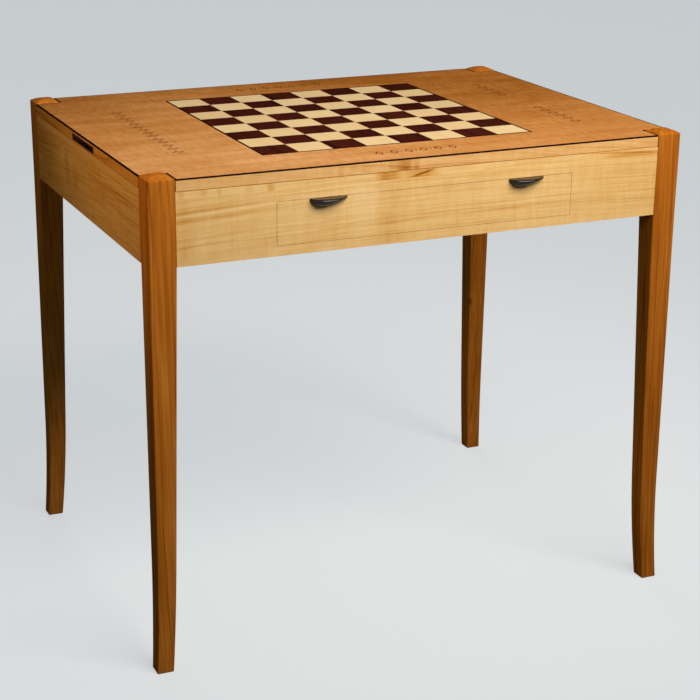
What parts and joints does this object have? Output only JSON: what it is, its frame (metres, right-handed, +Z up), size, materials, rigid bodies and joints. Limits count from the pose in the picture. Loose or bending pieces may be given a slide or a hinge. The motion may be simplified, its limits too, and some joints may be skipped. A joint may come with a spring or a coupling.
{
  "type": "games table with inlaid chessboard",
  "caption": "Rectangular wooden games table: loose lift-off lid with an inlaid chessboard over a lined games well, a wide drawer below it, and sabre legs with pillow tops.",
  "frame": {"origin": "on the floor, under the middle of the box round the whole table", "axes": "+X along the table towards the right-hand end seen from the drawer side, -Y towards the drawer side (front), +Z up"},
  "size_m": [0.879, 0.6664, 0.759],
  "materials": {
    "leg_wood": "polished orange-brown hardwood",
    "apron_wood": "satin pale yellow-brown hardwood, straight grain along the board",
    "field_veneer_wood": "satin tan veneer with a fine rippled figure",
    "light_square_wood": "satin pale veneer",
    "dark_square_wood": "satin deep maroon-brown veneer",
    "black_stringing": "polished black wood",
    "pull_wood": "polished black-brown wood",
    "inlay_wood": "satin mid-brown veneer",
    "baize": "green wool baize",
    "screw_steel": "plain steel",
    "panel_wood": "plain pale birch-faced board",
    "secondary_wood": "plain unpolished pale hardwood"
  },
  "bodies": {
    "frame": {"leg_front_left": "leg_wood", "leg_front_right": "leg_wood", "leg_back_left": "leg_wood", "leg_back_right": "leg_wood", "apron_front": "apron_wood", "apron_back": "apron_wood", "apron_left": "apron_wood", "apron_right": "apron_wood", "apron_strip_front": "apron_wood", "apron_strip_back": "apron_wood", "apron_strip_left": "apron_wood", "apron_strip_right": "apron_wood", "well_floor": "panel_wood", "well_lining": "baize", "drawer_runner_left": "secondary_wood", "drawer_runner_right": "secondary_wood", "drawer_guide_left": "secondary_wood", "drawer_guide_right": "secondary_wood", "drawer_kicker_left": "secondary_wood", "drawer_kicker_right": "secondary_wood", "drawer_stops": "secondary_wood"},
    "drawer": {"drawer_front": "apron_wood", "drawer_side_left": "secondary_wood", "drawer_side_right": "secondary_wood", "drawer_back": "secondary_wood", "drawer_bottom": "panel_wood", "pull_left": "pull_wood", "pull_right": "pull_wood", "pull_screws": "screw_steel", "drawer_bottom_screws": "screw_steel"},
    "lid": {"lid_core": "panel_wood", "lid_lipping_front": "apron_wood", "lid_lipping_back": "apron_wood", "lid_lipping_left": "apron_wood", "lid_lipping_right": "apron_wood", "underside_veneer": "panel_wood", "field_veneer": "field_veneer_wood", "board_border": "black_stringing", "light_squares": "light_square_wood", "dark_squares": "dark_square_wood", "edge_string": "black_stringing", "ornament_inlay": "inlay_wood", "finger_pull_left": "pull_wood", "finger_pull_right": "pull_wood"}
  },
  "joints": [
    {"name": "drawer_slide", "type": "slide", "parent": "frame", "child": "drawer", "axis": [0, -1, 0], "range_m": [0, 0.3]},
    {"name": "lid_lift", "type": "slide", "parent": "frame", "child": "lid", "axis": [0, 0, 1], "range_m": [0, 0.15]}
  ]
}
